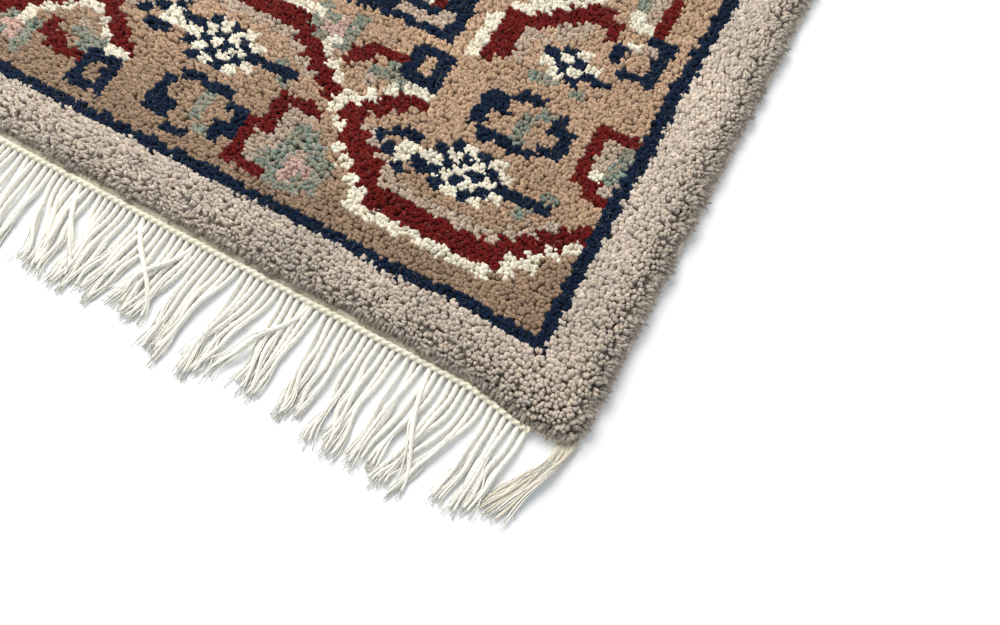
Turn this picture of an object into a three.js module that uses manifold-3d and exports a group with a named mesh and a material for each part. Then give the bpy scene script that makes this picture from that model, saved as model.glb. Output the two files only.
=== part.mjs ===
// A hand-knotted oriental rug with a thick wool pile, lying flat on a floor.
// Millimetres, +Z up. The origin is the middle of the underside. +X runs across the rug,
// +Y runs along it, and a cotton fringe lies at each end.
import * as THREE from "three";
import Module from "manifold-3d";

const wasm = await Module();
wasm.setup();

// Driving dimensions
const WOVEN_WIDTH = 600;
const WOVEN_LENGTH = 900;
const PILE_HEIGHT = 13;
const CORNER_RADIUS = 9;
const CLEARANCE = 0.3;
const SELVEDGE_WIDTH = 6.5;
const SELVEDGE_HEIGHT = 5.5;
const STRIP_WIDTH = 6.5;
const CHAIN_MARGIN = 28;
const STRAND_WIDTH = 2.6;
const STRAND_HEIGHT = 2.3;
const STRAND_ROOT_HEIGHT = 2.5;

const COLOURS = { pile: 0xb4916f, selvedge: 0x8f8272, cotton: 0xefeadb };

// The pile's section, from the underside up: how far its sides and its ends reach past the
// foundation, and how strongly the lumps of the pile show. It leans out over the selvedges.
const PILE_SECTION = [
  { z: 0, side: 0, end: 0, lump: 0 },
  { z: SELVEDGE_HEIGHT + CLEARANCE, side: 0, end: 0, lump: 0 },
  { z: 6.9, side: 3.8, end: 1.6, lump: 0.4 },
  { z: 9.4, side: 5.2, end: 2.7, lump: 1 },
  { z: 11.6, side: 3.5, end: 0.9, lump: 1 },
  { z: 12.7, side: -0.6, end: -2.6, lump: 0.5 },
  { z: PILE_HEIGHT, side: -6.5, end: -8.5, lump: 0 },
];

// Lumps along the rim of the pile: height of each wave, and its count round the rim
const RIM_WAVES = [
  { size: 0.5, count: 19, phase: 0.6 },
  { size: 0.4, count: 31, phase: 2.1 },
];

// The end strip's section, outwards from the pile: flat weave, then the chain cord
const STRIP_SECTION = [
  { out: 0, z: 0 },
  { out: 0, z: 1.8 },
  { out: 2.2, z: 2 },
  { out: 3.1, z: 4.2 },
  { out: 4.8, z: 4.8 },
  { out: STRIP_WIDTH, z: 3 },
  { out: STRIP_WIDTH, z: 0 },
];
const STRIP_HUB = { out: 3, z: 1 };
const STRIP_END_HEIGHT = 0.55;

// Groups of fringe strands from the +X corner. Their tips move across by shift, draw
// together by the share gather, lie as far out as reach, and bow sideways on the way.
const FRINGE_GROUPS = [
  { strands: 3, shift: -4, gather: 0.25, reach: 57, bow: 0 },
  { strands: 3, shift: -3, gather: 0.3, reach: 57, bow: 1 },
  { strands: 6, shift: -15, gather: 0.42, reach: 72, bow: 2 },
  { strands: 6, shift: -6, gather: 0.4, reach: 65, bow: 1 },
  { strands: 6, shift: 0, gather: 0.3, reach: 67, bow: -1 },
  { strands: 6, shift: 1, gather: 0.3, reach: 61, bow: 1 },
  { strands: 6, shift: 2, gather: 0.45, reach: 63, bow: 0 },
  { strands: 6, shift: -10, gather: 0.48, reach: 67, bow: 1 },
  { strands: 6, shift: -3, gather: 0.48, reach: 68, bow: -1 },
  { strands: 6, shift: -7, gather: 0.4, reach: 55, bow: 2 },
  { strands: 5, shift: -8, gather: 0.45, reach: 59, bow: 2 },
  { strands: 6, shift: 0, gather: 0.42, reach: 60, bow: 1 },
  { strands: 7, shift: 10, gather: 0.46, reach: 57, bow: -2 },
  { strands: 6, shift: 4, gather: 0.4, reach: 63, bow: 1 },
  { strands: 7, shift: -4, gather: 0.45, reach: 66, bow: -1 },
  { strands: 5, shift: -8, gather: 0.42, reach: 62, bow: 1 },
  { strands: 6, shift: -2, gather: 0.45, reach: 64, bow: 1 },
  { strands: 7, shift: 6, gather: 0.44, reach: 61, bow: -1.5 },
  { strands: 6, shift: 1, gather: 0.4, reach: 66, bow: 1 },
  { strands: 6, shift: 8, gather: 0.45, reach: 62, bow: -1 },
  { strands: 4, shift: 6, gather: 0.35, reach: 60, bow: 1 },
  { strands: 3, shift: 5, gather: 0.3, reach: 57, bow: 0 },
];

// Where a strand's sections lie along it, with the share of its width there
const STRAND_STATIONS = [
  { along: 0, width: 1 },
  { along: 0.12, width: 1 },
  { along: 0.42, width: 0.94 },
  { along: 0.74, width: 0.82 },
  { along: 1, width: 0.6 },
];

// Strand ends are trimmed by hand: the share of the reach that is cut off, and how fast
// the cut changes from one strand to the next
const TRIM_SPREAD = 0.1;
const TRIM_TURN = 2.4;

// The selvedge ends in a thick lock of wool and warp ends at each corner
const CORNER_LOCK = { inset: 9, width: 6.5, height: 4.2, shift: -16, reach: 58, bow: 6 };

const halfWidth = WOVEN_WIDTH / 2 - SELVEDGE_WIDTH - CLEARANCE;
const halfLength = WOVEN_LENGTH / 2 - STRIP_WIDTH - CLEARANCE;
const stripHalf = WOVEN_WIDTH / 2 - CLEARANCE;
const chainHalf = WOVEN_WIDTH / 2 - CHAIN_MARGIN;
const stripEdge = WOVEN_LENGTH / 2 - STRIP_WIDTH;

function middleOf(ring) {
  const sum = ring.reduce((total, point) => total.add(point), new THREE.Vector3());
  return sum.divideScalar(ring.length);
}

// A closed skin over a row of rings with equal counts of points, each ring counter-clockwise
// when it is seen from the last ring. A fan round its hub closes each end.
function loft(rings, hubOf = middleOf) {
  const sides = rings[0].length;
  const last = rings.length - 1;
  const hubs = [hubOf(rings[0]), hubOf(rings[last])];
  const firstHub = rings.length * sides;
  const index = [];
  for (let side = 0; side < sides; side += 1) {
    const next = (side + 1) % sides;
    for (let ring = 0; ring < last; ring += 1) {
      const a = ring * sides + side;
      const b = ring * sides + next;
      index.push(a, b, b + sides, a, b + sides, a + sides);
    }
    index.push(firstHub, next, side);
    index.push(firstHub + 1, last * sides + side, last * sides + next);
  }
  const geometry = new THREE.BufferGeometry().setFromPoints([...rings.flat(), ...hubs]);
  geometry.setIndex(index);
  return geometry;
}

function solidOf(geometry) {
  return new wasm.Manifold(new wasm.Mesh({
    numProp: 3,
    vertProperties: new Float32Array(geometry.attributes.position.array),
    triVerts: new Uint32Array(geometry.index.array),
  }));
}

function geometryOf(solid) {
  const mesh = solid.getMesh();
  const geometry = new THREE.BufferGeometry();
  geometry.setAttribute("position", new THREE.BufferAttribute(mesh.vertProperties, mesh.numProp));
  geometry.setIndex(new THREE.BufferAttribute(mesh.triVerts, 1));
  return geometry;
}

function named(name, geometry, colour) {
  geometry.computeVertexNormals();
  const material = new THREE.MeshStandardMaterial({ color: colour, roughness: 0.95, metalness: 0 });
  const mesh = new THREE.Mesh(geometry, material);
  mesh.name = name;
  return mesh;
}

// The foundation's outline, counter-clockwise: each point with its outward direction.
// Round corners are arcs, and the straight edges between them are divided evenly.
function foundationOutline() {
  const cornerSteps = 4;
  const corners = [
    { x: 1, y: 1, turn: 0, edgeSteps: 22 },
    { x: -1, y: 1, turn: 1, edgeSteps: 32 },
    { x: -1, y: -1, turn: 2, edgeSteps: 22 },
    { x: 1, y: -1, turn: 3, edgeSteps: 32 },
  ];
  const arcPoint = (corner, step) => {
    const angle = (corner.turn + step / cornerSteps) * Math.PI / 2;
    const outward = new THREE.Vector2(Math.cos(angle), Math.sin(angle));
    const centre = new THREE.Vector2(
      corner.x * (halfWidth - CORNER_RADIUS),
      corner.y * (halfLength - CORNER_RADIUS),
    );
    return { point: centre.addScaledVector(outward, CORNER_RADIUS), outward };
  };
  return corners.flatMap((corner, place) => {
    const arc = Array.from({ length: cornerSteps + 1 }, (_, step) => arcPoint(corner, step));
    const start = arc[cornerSteps];
    const end = arcPoint(corners[(place + 1) % corners.length], 0);
    const edge = Array.from({ length: corner.edgeSteps - 1 }, (_, step) => ({
      point: start.point.clone().lerp(end.point, (step + 1) / corner.edgeSteps),
      outward: start.outward,
    }));
    return [...arc, ...edge];
  });
}

// The knotted body: one flat slab with a rounded, slightly lumpy rim
function rugBody() {
  const outline = foundationOutline();
  const lumps = outline.map((_, place) => RIM_WAVES.reduce((sum, wave) => {
    const turn = 2 * Math.PI * wave.count * place / outline.length;
    return sum + wave.size * Math.sin(turn + wave.phase);
  }, 0));
  const rings = PILE_SECTION.map((row) => outline.map(({ point, outward }, place) => new THREE.Vector3(
    point.x + outward.x * (row.side + row.lump * lumps[place]),
    point.y + outward.y * (row.end + row.lump * lumps[place]),
    row.z,
  )));
  return loft(rings);
}

// One overcast selvedge: an eight-sided roll with a flat underside, a little uneven in girth.
// It is made on the +X side, from the +Y end to the -Y end.
function selvedge() {
  const sides = 8;
  const steps = 36;
  const girthDip = 0.07;
  const wavesAlong = 11;
  const flatToCorner = 1 / Math.cos(Math.PI / sides);
  const innerEdge = halfWidth + CLEARANCE;
  const rings = Array.from({ length: steps + 1 }, (_, step) => {
    const along = step / steps;
    const girth = 1 - girthDip * (0.5 + 0.5 * Math.sin(2 * Math.PI * wavesAlong * along));
    return Array.from({ length: sides }, (__, side) => {
      const angle = 2 * Math.PI * (side + 0.5) / sides;
      const across = 0.5 + 0.5 * Math.cos(angle) * flatToCorner;
      const up = 0.5 + 0.5 * Math.sin(angle) * flatToCorner;
      return new THREE.Vector3(
        innerEdge + SELVEDGE_WIDTH * girth * across,
        halfLength * (1 - 2 * along),
        SELVEDGE_HEIGHT * girth * up,
      );
    });
  });
  return loft(rings);
}

// One strand: a three-sided lock with its flat side on the floor, from inside the strip out
function strand({ rootX, tipX, reach, trim, bow, width, height, rootHeight }) {
  const rings = STRAND_STATIONS.map((station) => {
    const share = station.along * trim;
    const swing = THREE.MathUtils.smoothstep(share, 0, 1);
    const x = rootX + (tipX - rootX) * swing + bow * Math.sin(Math.PI * share);
    const y = -stripEdge - STRIP_WIDTH / 2 - (reach + STRIP_WIDTH / 2) * share;
    const half = width * station.width / 2;
    const top = station.along === 0 ? rootHeight : height * station.width;
    return [
      new THREE.Vector3(x - half, y, 0),
      new THREE.Vector3(x + half, y, 0),
      new THREE.Vector3(x, y, top),
    ];
  });
  return solidOf(loft(rings));
}

// The strip of flat weave and chain cord across one end. The cord stops short of the corners.
function endStrip() {
  const stations = [
    { x: -stripHalf, rise: STRIP_END_HEIGHT },
    { x: -chainHalf - STRIP_WIDTH, rise: STRIP_END_HEIGHT },
    { x: -chainHalf, rise: 1 },
    { x: chainHalf, rise: 1 },
    { x: chainHalf + STRIP_WIDTH, rise: STRIP_END_HEIGHT },
    { x: stripHalf, rise: STRIP_END_HEIGHT },
  ];
  const placed = (x, { out, z }, rise) => new THREE.Vector3(x, -stripEdge - out, z * rise);
  const rings = stations.map(({ x, rise }) => STRIP_SECTION.map((corner) => placed(x, corner, rise)));
  return solidOf(loft(rings, (ring) => placed(ring[0].x, STRIP_HUB, STRIP_END_HEIGHT)));
}

function groupedStrands() {
  const count = FRINGE_GROUPS.reduce((sum, group) => sum + group.strands, 0);
  const pitch = 2 * chainHalf / count;
  const strands = [];
  let edge = chainHalf;
  for (const group of FRINGE_GROUPS) {
    const middle = edge - pitch * group.strands / 2;
    for (let place = 0; place < group.strands; place += 1) {
      const rootX = edge - pitch * (place + 0.5);
      const tipX = middle + group.shift + (rootX - middle) * (1 - group.gather);
      strands.push(strand({
        rootX,
        tipX,
        reach: group.reach,
        trim: 1 - TRIM_SPREAD * (0.5 + 0.5 * Math.sin(TRIM_TURN * strands.length)),
        bow: group.bow,
        width: STRAND_WIDTH,
        height: STRAND_HEIGHT,
        rootHeight: STRAND_ROOT_HEIGHT,
      }));
    }
    edge -= pitch * group.strands;
  }
  return strands;
}

function cornerLock(side) {
  const rootX = side * (stripHalf - CORNER_LOCK.inset);
  return strand({
    ...CORNER_LOCK,
    rootX,
    tipX: rootX + side * CORNER_LOCK.shift,
    trim: 1,
    bow: side * CORNER_LOCK.bow,
    rootHeight: CORNER_LOCK.height,
  });
}

// One fringe at the -Y end: strip, strands and corner locks, fused at their roots
function fringe() {
  const pieces = [endStrip(), ...groupedStrands(), cornerLock(1), cornerLock(-1)];
  return geometryOf(pieces.reduce((whole, piece) => whole.add(piece)));
}

const rug = new THREE.Group();
rug.add(named("rug_body", rugBody(), COLOURS.pile));
const ends = [
  { turn: 0, selvedgeName: "selvedge_right", fringeName: "fringe_front" },
  { turn: Math.PI, selvedgeName: "selvedge_left", fringeName: "fringe_back" },
];
for (const { turn, selvedgeName, fringeName } of ends) {
  const half = new THREE.Group();
  half.rotation.z = turn;
  half.add(named(selvedgeName, selvedge(), COLOURS.selvedge));
  half.add(named(fringeName, fringe(), COLOURS.cotton));
  rug.add(half);
}

export default rug;
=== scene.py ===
# %% [markdown]
# # A hand-knotted oriental rug
# The rug lies flat on a floor. It has a thick wool pile with a knotted design, an overcast edge
# along each side, and a cotton fringe at each end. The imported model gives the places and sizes,
# and this lesson gives each piece the surface of the real thing. Shapes are worked out in numpy
# as whole arrays, in millimetres, and turn into metres when a mesh is made.

import bpy
import numpy as np
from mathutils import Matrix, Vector


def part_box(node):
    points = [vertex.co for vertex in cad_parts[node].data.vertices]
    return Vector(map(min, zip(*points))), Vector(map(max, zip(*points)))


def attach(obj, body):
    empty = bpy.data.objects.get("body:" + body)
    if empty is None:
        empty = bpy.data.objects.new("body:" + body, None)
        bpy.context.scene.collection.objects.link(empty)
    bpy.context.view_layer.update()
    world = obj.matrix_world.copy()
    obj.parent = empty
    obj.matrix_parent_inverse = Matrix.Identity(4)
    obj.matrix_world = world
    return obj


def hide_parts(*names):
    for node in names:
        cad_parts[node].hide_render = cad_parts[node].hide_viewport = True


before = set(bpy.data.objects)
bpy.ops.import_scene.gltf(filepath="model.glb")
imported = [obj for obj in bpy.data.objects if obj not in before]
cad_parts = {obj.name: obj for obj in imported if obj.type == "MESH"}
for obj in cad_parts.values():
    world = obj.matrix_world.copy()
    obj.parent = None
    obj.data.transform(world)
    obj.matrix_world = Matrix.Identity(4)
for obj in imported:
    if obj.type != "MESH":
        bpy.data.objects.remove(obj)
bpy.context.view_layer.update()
MM = 0.001


def node_box(name):
    """A node's lowest and highest corners, in millimetres."""
    return [np.array(corner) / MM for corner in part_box(name)]


body_low, body_high = node_box("rug_body")
selvedge_low, selvedge_high = node_box("selvedge_right")
fringe_low, fringe_high = node_box("fringe_front")
pile_top = body_high[2]
outer_half = selvedge_high[0]
woven_half = selvedge_low[0]
woven_end = -fringe_high[1]
print(f"pile {pile_top:.1f} mm high, woven area {2 * woven_half:.0f} by {2 * woven_end:.0f} mm")

# %% [markdown]
# ## Camera
# The photograph looks steeply down on the near right corner. Such a view could be set by eye, but
# a camera that is told where to look, from which side, how steeply and from how far away can be
# corrected one number at a time. The focal length is kept in pixels of the picture's width.

# %% Camera
PICTURE_WIDTH = 1000
FOCAL_PIXELS = 900
SENSOR_WIDTH = 36
LOOK_AT = Vector((225.3, -401.5, 0)) * MM
VIEW_AZIMUTH = np.radians(-28.55)
VIEW_ELEVATION = np.radians(69.21)
VIEW_DISTANCE = 505.3 * MM

ahead = Vector((
    np.sin(VIEW_AZIMUTH) * np.cos(VIEW_ELEVATION),
    np.cos(VIEW_AZIMUTH) * np.cos(VIEW_ELEVATION),
    -np.sin(VIEW_ELEVATION),
))
camera_data = bpy.data.cameras.new("camera")
camera_data.sensor_width = SENSOR_WIDTH
camera_data.lens = SENSOR_WIDTH * FOCAL_PIXELS / PICTURE_WIDTH
camera_data.clip_start = 0.01
camera = bpy.data.objects.new("camera", camera_data)
camera.location = LOOK_AT - VIEW_DISTANCE * ahead
camera.rotation_euler = ahead.to_track_quat("-Z", "Y").to_euler()
bpy.context.scene.collection.objects.link(camera)
bpy.context.scene.camera = camera
print("camera at", [round(value, 3) for value in camera.location])

# %% [markdown]
# ## Meshes from arrays
# A rug is tens of thousands of tufts and yarns, far too many to add one by one. Blender's
# `foreach_set` takes whole arrays, so one function turns points and triangles into an object.
# Colours and other values that belong to single points become attributes that a material can read.

# %% Mesh helpers
def add_piece(name, points, triangles, material, domain="POINT", **attributes):
    """Makes an object of an (n, 3) array of points in millimetres and an (m, 3) array of triangles.

    An attribute with four columns becomes a colour, and one with a single column a number, of each
    point, or of each triangle if the domain is "FACE".
    """
    mesh = bpy.data.meshes.new(name)
    mesh.vertices.add(len(points))
    mesh.vertices.foreach_set("co", (points * MM).astype(np.float32).ravel())
    mesh.loops.add(triangles.size)
    mesh.loops.foreach_set("vertex_index", triangles.astype(np.int32).ravel())
    mesh.polygons.add(len(triangles))
    mesh.polygons.foreach_set("loop_start", np.arange(0, triangles.size, 3, dtype=np.int32))
    mesh.update(calc_edges=True)
    mesh.shade_smooth()
    for key, values in attributes.items():
        kind, field = ("FLOAT_COLOR", "color") if values.ndim == 2 else ("FLOAT", "value")
        layer = mesh.attributes.new(key, kind, domain)
        layer.data.foreach_set(field, values.astype(np.float32).ravel())
    mesh.materials.append(material)
    piece = bpy.data.objects.new(name, mesh)
    bpy.context.scene.collection.objects.link(piece)
    print(f"{name}: {len(triangles)} triangles")
    return piece


def unit(vectors):
    """Each vector divided by its length."""
    return vectors / np.linalg.norm(vectors, axis=-1, keepdims=True)


def smoothstep(values):
    """0 below 0, 1 above 1, and between them the curve 3 v v - 2 v v v."""
    share = np.clip(values, 0, 1)
    return share * share * (3 - 2 * share)


def ripple(x, y, length, seed, waves=9):
    """A smooth uneven field from about -1 to 1: the mean of sine waves in random directions.

    Their wavelengths lie round the given length.
    """
    draw = np.random.default_rng(seed)
    heading = draw.uniform(0, 2 * np.pi, waves)
    rate = 2 * np.pi / (length * draw.uniform(0.6, 1.6, waves))
    phase = draw.uniform(0, 2 * np.pi, waves)
    way = x[..., None] * np.cos(heading) + y[..., None] * np.sin(heading)
    return np.sin(way * rate + phase).sum(axis=-1) / np.sqrt(waves)


def linear(red, green, blue):
    """A colour as seen on a screen, from 0 to 255, as the linear numbers that shaders use."""
    share = np.array([red, green, blue]) / 255
    return np.where(share <= 0.04045, share / 12.92, ((share + 0.055) / 1.055) ** 2.4)


# %% [markdown]
# ## Shader maths as Python
# Materials are networks of nodes. A small class that wraps a socket lets a network be written as
# a formula: `1 - mask` adds a Math node and returns its output. Every other node comes from one
# method that takes the node's type, its settings and the values or links of its sockets.

# %% Shader helper
class Shade:
    """A socket of a node tree that can be used in sums and products."""

    def __init__(self, tree, socket=None):
        self.tree = tree
        self.socket = socket

    def node(self, kind, settings=None, inputs=None, output=0):
        """Adds a node, sets its settings, then its inputs by name or number, and wraps an output."""
        made = self.tree.nodes.new(kind)
        for key, value in (settings or {}).items():
            setattr(made, key, value)
        for key, value in (inputs or {}).items():
            if isinstance(value, Shade):
                self.tree.links.new(value.socket, made.inputs[key])
            else:
                made.inputs[key].default_value = value
        return Shade(self.tree, made.outputs[output])

    def math(self, operation, first, second):
        return self.node("ShaderNodeMath", {"operation": operation}, {0: first, 1: second})

    def mix(self, factor, first, second, blend="MIX"):
        """Mixes two colours by a factor."""
        settings = {"data_type": "RGBA", "blend_type": blend}
        return self.node("ShaderNodeMix", settings, {0: factor, 6: first, 7: second}, output=2)

    def __add__(self, other):
        return self.math("ADD", self, other)

    def __radd__(self, other):
        return self.math("ADD", other, self)

    def __sub__(self, other):
        return self.math("SUBTRACT", self, other)

    def __rsub__(self, other):
        return self.math("SUBTRACT", other, self)

    def __mul__(self, other):
        return self.math("MULTIPLY", self, other)

    def __rmul__(self, other):
        return self.math("MULTIPLY", other, self)


def new_material(name, roughness, sheen):
    """A cloth-like material: its shader, and a Shade that adds nodes to its tree."""
    material = bpy.data.materials.new(name)
    material.use_nodes = True
    shader = material.node_tree.nodes["Principled BSDF"]
    shader.inputs["Roughness"].default_value = roughness
    shader.inputs["Specular IOR Level"].default_value = 0.2
    shader.inputs["Sheen Weight"].default_value = sheen
    shader.inputs["Sheen Roughness"].default_value = 0.5
    return material, shader, Shade(material.node_tree)


def plug(shader, name, shade):
    """Links a wrapped socket to one of the shader's inputs."""
    shade.tree.links.new(shade.socket, shader.inputs[name])


# %% [markdown]
# ## Wool of the pile
# Each tuft is the cut end of one wool yarn, dyed in one colour. Painted shade makes it darker
# towards its root, between its neighbours, than at its tip. The colour comes with the points, so
# one material serves the whole design. A little noise stands for the fibres, in the colour and as
# a bump.

# %% Wool material
FIBRE_SCALE = 720


def wool_material(name, root_shade, bump_height):
    """Knot colour, darkened by painted shade towards the root, times a fibre noise between about 0.8 and 1.2.
    """
    material, shader, shade = new_material(name, 0.95, 0.05)
    colour = shade.node("ShaderNodeAttribute", {"attribute_name": "yarn_colour"})
    share = shade.node("ShaderNodeAttribute", {"attribute_name": "height_share"}, output=2)
    place = shade.node("ShaderNodeTexCoord", output=3)
    fibre = shade.node("ShaderNodeTexNoise", None, {"Vector": place, "Scale": FIBRE_SCALE, "Detail": 2.0})
    # Painted shade: the colour falls from the tip to root_shade of itself at the root
    light = (root_shade + (1 - root_shade) * share) * (0.5 + fibre)
    grey = shade.node("ShaderNodeCombineColor", None, {0: light, 1: light, 2: light})
    plug(shader, "Base Color", shade.mix(1.0, colour, grey, "MULTIPLY"))
    relief = {"Strength": 0.9, "Distance": bump_height * MM, "Height": fibre}
    plug(shader, "Normal", shade.node("ShaderNodeBump", None, relief))
    return material


pile_wool = wool_material("pile_wool", 0.4, 0.9)
print("material", pile_wool.name)

# %% [markdown]
# ## The design on squared paper
# Weavers follow a cartoon on squared paper. Here a square stands for two by two knots. Small
# motifs are drawn with letters: R red, N navy, C cream, G grey-brown, T teal, P rose, and a dot
# leaves what is there. The vine that winds between them is a stepped line, so it is worked out
# from its corners by distance. Each half repeat of the border is the one before it, moved along
# and turned over, as on the real rug.

# %% Motifs
MOTIFS = {
    "leaf": (
        ".....NCNC....",
        ".NN.NCNCNC..T",
        "N.CCCNCNCNNNN",
        ".NCNNCNCNC.T.",
        "..N..NCNC....",
    ),
    "palmette": (
        "..NN...",
        "NN..TN.",
        "NN.T.NN",
        "N..T..N",
        "N..T.NN",
        ".NNNN..",
    ),
    "half_leaf": (
        ".RRR...",
        ".RGG...",
        ".RGTT..",
        "RRGTTT.",
        "RGGTGTT",
        "RGTTPPT",
        "RGTTPTT",
        "RRRTTT.",
    ),
    "corner_leaf": (
        "RRR",
        "RGT",
        "RGT",
        "RGT",
        "RCT",
        "RRG",
        ".RR",
    ),
    "scroll": (
        "....NNN",
        "....N.N",
        ".RRRN.N",
        "RR.TNNN",
        "R.TTTCC",
        "..G.CRR",
        "...CRR.",
        "..CRR..",
        ".CRR...",
        "..RR...",
    ),
    "star": (
        "T..T",
        ".TPT",
        "TPPT",
        ".T.T",
    ),
    "small_flower": (
        ".NC..",
        "NCNC.",
        "CNCNN",
        ".CN..",
    ),
    "hook_ring": (
        "..NN",
        ".CGN",
        "N..N",
        "N..N",
        ".NNN",
    ),
    "buds": (
        "TT.T",
        ".TT.",
    ),
    "bar": (
        "TGR",
        "TGR",
        "TGR",
        "CGR",
        "CCR",
    ),
    "curl": (
        "GGGNNG",
        "GNNCGN",
        "GNCCRN",
        "GGNNNG",
        "NNGGGG",
    ),
}
LETTERS = ".RNCGTPB"
TAN, RED, NAVY, CREAM, GREY, TEAL, ROSE, TAUPE = range(len(LETTERS))
print(len(MOTIFS), "motifs")

# %% Layout of the border
SQUARES_ACROSS = 58
SQUARES_ALONG = 116
HALF_ALONG = SQUARES_ALONG // 2
HALF_REPEAT = 20
BORDER_ROWS = 20
BORDER_COLUMNS = 15

# A motif's name, the square of its left edge, counted from the right-hand guard, and the row of
# its top
UNIT_MOTIFS = (("leaf", 16, 12), ("palmette", 11, 19))
CROSSING_MOTIFS = (("half_leaf", 24, 9), ("scroll", 21, 19), ("star", 25, 19))
CORNER_LEAF = (3, 19)
SIDE_MOTIFS = (
    ("small_flower", 9, 25),
    ("buds", 9, 21),
    ("hook_ring", 5, 29),
    ("bar", 5, 34),
    ("palmette", 11, 43),
)

# The vine in one half repeat, from its middle: squares along, and rows from its axis
VINE_AXIS = 11
VINE_RED = ((-9.2, -0.4), (-4.2, -5.9), (4.2, -5.9), (9.0, -0.6))
VINE_CREAM = ((-9.4, -1.2), (-4.6, -7.4), (4.6, -7.4), (9.4, -1.2))
VINE_GREY = ((-6.8, -1.4), (-3.8, -4.4), (3.8, -4.4), (7.6, -1.0))
VINE_MIDDLE = 10.25
VINE_THIN = 0.62
VINE_THICK = 0.86
ARCH_RED = ((13.2, 22.0), (13.2, 26.0), (10.7, 27.2), (9.6, 29.2), (8.3, 30.6), (6.2, 28.2))
ARCH_CREAM = ((14.4, 21.6), (14.4, 25.5), (12.0, 28.0), (10.9, 30.2), (8.4, 32.2))
ARCH_GREY = ((11.8, 22.5), (11.8, 25.0), (9.8, 26.2), (8.6, 28.4))


def squares(rows, columns):
    """The middles of a grid of squares, as two arrays."""
    return np.meshgrid(np.arange(columns) + 0.5, np.arange(rows) + 0.5)


def draw_line(chart, line, half_thickness, colour):
    """Colours every square whose middle lies within half_thickness of a broken line."""
    across, up = squares(*chart.shape)
    for (x0, y0), (x1, y1) in zip(line[:-1], line[1:]):
        run = np.array([x1 - x0, y1 - y0])
        share = ((across - x0) * run[0] + (up - y0) * run[1]) / (run @ run)
        share = np.clip(share, 0, 1)
        far = np.hypot(across - x0 - share * run[0], up - y0 - share * run[1])
        chart[far < half_thickness] = colour


def motif_squares(name):
    """A motif's letters as the numbers of their dyes, with its lowest row first."""
    return np.array([[LETTERS.index(letter) for letter in row] for row in MOTIFS[name]])[::-1]


def stamp(chart, name, left, top, over=False):
    """Puts a motif on a chart whose first row is its lowest, and leaves out what falls outside.

    Over turns it upside down about the middle of the border.
    """
    letters = motif_squares(name)
    low = top - len(letters) + 1
    if over:
        letters = letters[::-1]
        low = BORDER_ROWS + 1 - top
    for row, column in np.argwhere(letters > 0):
        place = (low + row, left + column)
        if 0 < place[0] < chart.shape[0] and 0 < place[1] < chart.shape[1] - 1:
            chart[place] = letters[row, column]


def vine_line(corners, repeat):
    """The vine's corners in one half repeat: the even ones run low and the odd ones high."""
    sign = 1 if repeat % 2 == 0 else -1
    middle = VINE_MIDDLE + HALF_REPEAT * repeat
    return [(SQUARES_ACROSS - middle - along, VINE_AXIS + sign * up) for along, up in corners]


def end_border():
    """The border along one end: the vine, then its leaves and palmettes, then the crossings."""
    chart = np.full((BORDER_ROWS + 1, SQUARES_ACROSS), TAN)
    repeats = range(3)
    lines = ((VINE_GREY, VINE_THIN, GREY), (VINE_CREAM, VINE_THIN, CREAM), (VINE_RED, VINE_THICK, RED))
    for corners, half, colour in lines:
        for repeat in repeats:
            draw_line(chart, vine_line(corners, repeat), half, colour)
    for first, second in zip(repeats[:-1], repeats[1:]):
        link = [vine_line(VINE_CREAM, first)[-1], vine_line(VINE_CREAM, second)[0]]
        draw_line(chart, link, VINE_THIN, CREAM)
    last = SQUARES_ACROSS - 1
    for repeat in repeats:
        for name, square, top in UNIT_MOTIFS:
            stamp(chart, name, last - square - HALF_REPEAT * repeat, top, repeat % 2 == 1)
    for crossing in repeats[:-1]:
        for name, square, top in CROSSING_MOTIFS:
            stamp(chart, name, last - square - HALF_REPEAT * crossing, top, crossing % 2 == 1)
    stamp(chart, "corner_leaf", last - CORNER_LEAF[0], CORNER_LEAF[1])
    return chart


SIDE_REPEAT = 25


def side_border():
    """The border along half a side, with its second repeat mirrored: from the right-hand guard in."""
    rows = HALF_ALONG + SIDE_REPEAT
    chart = np.full((rows, BORDER_COLUMNS + 2), TAN)
    width = chart.shape[1]
    for line, half, colour in ((ARCH_GREY, 0.55, GREY), (ARCH_CREAM, 0.75, CREAM), (ARCH_RED, 0.7, RED)):
        draw_line(chart, [(width - across, up) for across, up in line], half, colour)
    for name, square, top in SIDE_MOTIFS:
        stamp(chart, name, width - 1 - square, top)
    first = chart[BORDER_ROWS + 1:BORDER_ROWS + 1 + SIDE_REPEAT]
    both = np.concatenate([first, first[:, ::-1]])
    return both[:HALF_ALONG - BORDER_ROWS - 1, 1:-1]


# %% The whole cartoon
CURL_COLUMNS = 6
CURL_ROWS = 5
STAR_PITCH = (11, 13)


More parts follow.
